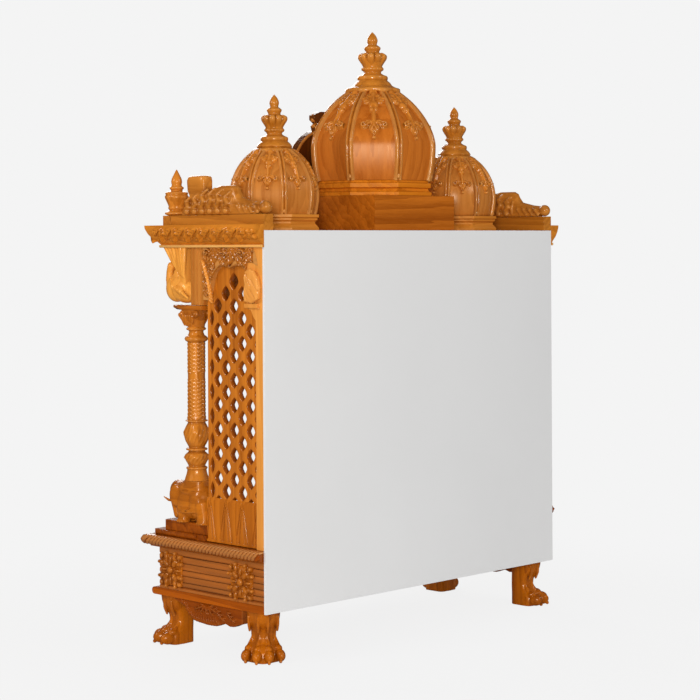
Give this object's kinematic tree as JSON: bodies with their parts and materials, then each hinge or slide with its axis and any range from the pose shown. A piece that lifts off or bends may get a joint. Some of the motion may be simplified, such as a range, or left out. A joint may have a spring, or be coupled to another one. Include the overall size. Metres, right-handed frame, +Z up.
{
  "type": "household shrine cabinet",
  "caption": "Carved teak household shrine on claw feet, with pierced lattice sides, elephants under turned columns, and a roof with ribbed domes, finials and an arched crest.",
  "frame": {"origin": "on the floor, under the centre of the object's bounding box", "axes": "+Z up; -Y is the open front and +Y the pale back panel; +X is on the right of someone who faces the front, and the picture shows that side and the back"},
  "size_m": [1.133, 0.4356, 1.53],
  "materials": {
    "teak": "varnished golden-orange teak",
    "teak_light": "varnished pale teak",
    "teak_dark": "varnished teak, darker in the carving",
    "pale_panel": "pale grey painted board"
  },
  "bodies": {
    "root": {"foot_front_right": "teak_dark", "foot_front_left": "teak_dark", "foot_rear_right": "teak_dark", "foot_rear_left": "teak_dark", "apron_front": "teak_dark", "apron_left": "teak_dark", "apron_right": "teak_dark", "base_bottom": "teak", "base_front": "teak", "base_side_left": "teak", "base_side_right": "teak", "deck_board": "teak", "rope_moulding": "teak", "step_lower": "teak_dark", "step_upper": "teak_dark", "elephant_left": "teak_dark", "elephant_right": "teak_dark", "column_left": "teak", "column_right": "teak", "post_left": "teak", "post_right": "teak", "peacock_left": "teak_light", "peacock_right": "teak_light", "lattice_left": "teak", "lattice_right": "teak", "spandrel_left": "teak_dark", "spandrel_right": "teak_dark", "stile_left": "teak_light", "stile_right": "teak_light", "front_arch": "teak", "back_panel": "pale_panel", "roof_board": "teak", "cornice": "teak", "fascia_front": "teak", "fascia_left": "teak", "fascia_right": "teak", "corner_finial_left": "teak", "corner_finial_right": "teak", "lion_left": "teak_dark", "lion_right": "teak_dark", "side_plinth_left": "teak", "side_plinth_right": "teak", "side_dome_left": "teak", "side_dome_right": "teak", "side_finial_left": "teak", "side_finial_right": "teak", "dome_platform": "teak", "dome_base": "teak", "centre_dome": "teak", "centre_finial": "teak", "crest_board": "teak_dark"}
  },
  "joints": []
}
